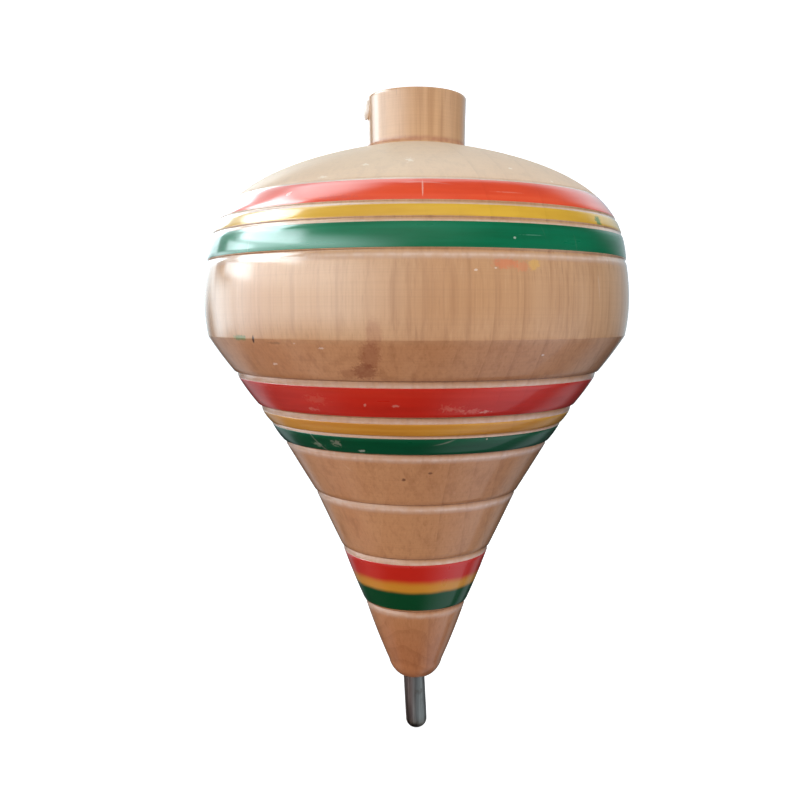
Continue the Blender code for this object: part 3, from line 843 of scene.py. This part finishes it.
def make_stage():
    """A pale floor that rises all round into a pale wall."""
    finish, tree, shader, place = new_finish("studio_paper")
    speck = cloud(tree, place, 240.0, 3.0)
    tree.links.new(tint(tree, ease(tree, speck, 0.3, 0.7), shade((0.90, 0.90, 0.90)), shade((0.92, 0.92, 0.92))),
                   shader.inputs["Base Color"])
    shader.inputs["Roughness"].default_value = 0.9
    shader.inputs["Specular IOR Level"].default_value = 0.0
    shader.inputs["Emission Color"].default_value = (1.0, 1.0, 1.0, 1.0)
    shader.inputs["Emission Strength"].default_value = 0.78
    profile = [(0.0, 0.0), (0.3, 0.0), (0.9, 0.0)] + arc((0.9, 0.6), 0.6, 0.6, -90, 0, 16)[1:] + [(1.5, 2.4)]
    shape = turn(profile, 64)
    shape.faces.ensure_lookup_table()
    lowest = min(shape.faces, key=lambda face: face.calc_center_median().length)
    if lowest.normal.z < 0.0:
        bmesh.ops.reverse_faces(shape, faces=shape.faces)
    mesh = bpy.data.meshes.new("studio_sweep")
    shape.to_mesh(mesh)
    shape.free()
    mesh.shade_smooth()
    mesh.materials.append(finish)
    sweep = bpy.data.objects.new("studio_sweep", mesh)
    bpy.context.scene.collection.objects.link(sweep)
    sweep.visible_diffuse = False
    sweep.visible_glossy = False
    sweep.visible_shadow = False


def towards(left_degrees, up_degrees, distance):
    """A place seen from the top's middle: degrees left of the front, and degrees up."""
    left = math.radians(left_degrees)
    up = math.radians(up_degrees)
    level = distance * math.cos(up)
    return Vector((-level * math.sin(left), -level * math.cos(left), 80 * MM + distance * math.sin(up)))


def make_panel(name, left_degrees, up_degrees, distance, size, strength, colour=(1.0, 1.0, 1.0)):
    """A soft square light that faces the top and doesn't show in its gloss."""
    light = bpy.data.lights.new(name, "AREA")
    light.shape = "SQUARE"
    light.size = size
    light.energy = strength * (math.pi * distance) ** 2
    light.color = colour
    lamp = bpy.data.objects.new(name, light)
    bpy.context.scene.collection.objects.link(lamp)
    lamp.location = towards(left_degrees, up_degrees, distance)
    lamp.rotation_euler = (Vector((0, 0, 80 * MM)) - lamp.location).to_track_quat("-Z", "Y").to_euler()
    lamp.visible_camera = False
    lamp.visible_glossy = False
    return lamp


ALL_ROUND = (None, None, None, None)


def pane(tree, left, up, left_edges, up_edges, brightness):
    """A soft-edged bright patch of the room: each edge is (dark, bright, bright, dark) degrees."""
    share = None
    for angle, edges in ((left, left_edges), (up, up_edges)):
        for low, high in (edges[:2], edges[:1:-1]):
            if low is None:
                continue
            edge = ease(tree, angle, math.radians(low), math.radians(high))
            share = edge if share is None else calc(tree, "MULTIPLY", share, edge)
    return calc(tree, "MULTIPLY", share, brightness)


def make_surroundings():
    """The room: soft light for the surfaces, and windows that only show in the gloss."""
    world = bpy.data.worlds.new("room")
    world.use_nodes = True
    bpy.context.scene.world = world
    tree = world.node_tree
    way = add(tree, "SeparateXYZ", {0: add(tree, "TexCoord").outputs["Generated"]}).outputs
    left = calc(tree, "ARCTAN2", calc(tree, "MULTIPLY", way[0], -1.0), calc(tree, "MULTIPLY", way[1], -1.0))
    up = calc(tree, "ARCSINE", way[2])
    panes = (
        ((58, 70, 106, 114), (15, 17, 24, 30), 7.0),
        ((78, 84, 114, 127), (21, 28, 42, 52), 10.0),
        ((92, 99, 118, 125), (7, 9.5, 13, 15), 4.0),
        ((20, 60, 108, 120), (3, 10, 20, 26), 1.1),
        ((133, 136, 158, 172), (-4, 22, 28, 36), 4.4),
        ((138, 160, None, None), (-10, -1, 16, 34), 0.9),
        ((None, None, -158, -112), (-12, -2, 12, 30), 0.50),
        ((-4, 50, 104, 118), (-24, -3, 16, 27), 3.2),
        ((108, 116, 126, 144), (-14, -5, 3, 9.5), 2.4),
        ((70, 100, 130, 150), (42, 55, 66, 85), 3.8),
        ((130, 150, None, None), (48, 60, 80, 89), 1.9),
        ((None, None, -150, -130), (48, 60, 80, 89), 1.1),
        ((-50, 0, 100, 170), (14, 30, 58, 80), 0.22),
        ((-109, -106, -84, -4), (-90, -68, -46, -24), 0.34),
        ((116, 130, 150, 162), (-32, -24, -14, -4), 0.28),
        ((-150, -138, -132, -118), (-50, -40, -28, -12), 0.22),
        ((-120, -80, 30, 90), (-52, -34, -16, 0), 0.38),
    )
    gloss = None
    for left_edges, up_edges, brightness in panes:
        patch = pane(tree, left, up, left_edges, up_edges, brightness)
        gloss = patch if gloss is None else calc(tree, "ADD", gloss, patch)
    behind = ease(tree, way[1], 0.3, 0.7)
    behind = calc(tree, "MULTIPLY", behind, calc(tree, "MULTIPLY", ease(tree, up, 0.15, 0.5), 1.0))
    gloss = calc(tree, "ADD", calc(tree, "ADD", gloss, behind), 0.02)
    mirrored = tint(tree, 1.0, shade((0.83, 0.97, 1.04)), add(tree, "CombineColor", {0: gloss, 1: gloss, 2: gloss}).outputs[0],
                    "MULTIPLY")
    below = shade((0.20, 0.035, 0.02))
    above = shade((0.42, 0.46, 0.48))
    soft = tint(tree, ease(tree, way[2], -0.5, 0.5), below, above)
    mirror_ray = add(tree, "LightPath").outputs["Is Glossy Ray"]
    tree.links.new(tint(tree, mirror_ray, soft, mirrored), tree.nodes["Background"].inputs["Color"])
    tree.nodes["Background"].inputs["Strength"].default_value = 1.0


def make_lights():
    """One broad soft light in front, a little to the left and above, and weaker ones from the right, the lower left
    and the lower right.
    """
    make_panel("front_softbox", 2, 22, 1.2, 1.2, 0.76)
    make_panel("right_fill", -78, -2, 1.2, 0.8, 0.22, (0.84, 1.0, 1.26))
    make_panel("left_fill", 112, -38, 1.2, 0.8, 0.62, (0.98, 1.0, 1.06))
    make_panel("low_right_fill", -86, -42, 1.2, 0.8, 0.15, (0.35, 1.0, 1.75))


def make_camera():
    """The camera, level with the belly and close in front."""
    camera = bpy.data.cameras.new("camera")
    camera.sensor_width = 36.0
    camera.lens = 38.88
    camera.clip_start = 0.01
    camera.clip_end = 10.0
    seat = bpy.data.objects.new("camera", camera)
    bpy.context.scene.collection.objects.link(seat)
    seat.location = (-3.04 * MM, -168.5 * MM, 83.4 * MM)
    seat.rotation_euler = (math.radians(90.0 - 5.66), math.radians(0.05), 0.0)
    bpy.context.scene.camera = seat


def main():
    """Builds the top, its stage, its light and the camera."""
    figure = make_wood_figure()
    lathe = make_lathe_lines()
    marks = make_handling_marks()
    spot = make_spot_mark()
    wood = make_wood_finish(figure, lathe, marks, spot)
    make_body(wood)
    make_lacquer_drip(make_set_lacquer())
    make_tip(make_tip_steel(marks))
    upper = {
        "red": ((0.87, 0.084, 0.023), (0.77, 0.057, 0.015), (0.92, 0.13, 0.05)),
        "yellow": ((0.80, 0.49, 0.044), (0.70, 0.39, 0.026), (0.86, 0.58, 0.09)),
        "green": ((0.0, 0.176, 0.070), (0.0, 0.130, 0.048), (0.002, 0.23, 0.105)),
    }
    middle = {
        "red": ((0.66, 0.020, 0.008), (0.54, 0.012, 0.005), (0.72, 0.045, 0.020)),
        "yellow": ((0.70, 0.335, 0.034), (0.60, 0.25, 0.022), (0.76, 0.41, 0.06)),
        "green": ((0.0, 0.080, 0.027), (0.0, 0.054, 0.018), (0.001, 0.112, 0.043)),
    }
    for set_name, colours in (("upper", upper), ("middle", middle)):
        for colour_name, shades in colours.items():
            bleed = 0.0 if colour_name == "green" else 0.025
            ring_name = set_name + "_" + colour_name + "_ring"
            spots = RING_MARKS.get(ring_name, ())
            finish = make_ring_paint(ring_name + "_paint", figure, lathe, marks, spot, spots, *shades, bleed)
            make_ring(ring_name, finish)
    faded = make_faded_paint("blended_ring_paint", figure, lathe, marks)
    make_ring("lower_blended_rings", faded)
    make_stage()
    make_surroundings()
    make_lights()
    make_camera()
    bpy.context.scene.view_settings.view_transform = "Standard"


def write_sizes():
    """Updates the view layer."""
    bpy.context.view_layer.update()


main()
write_sizes()
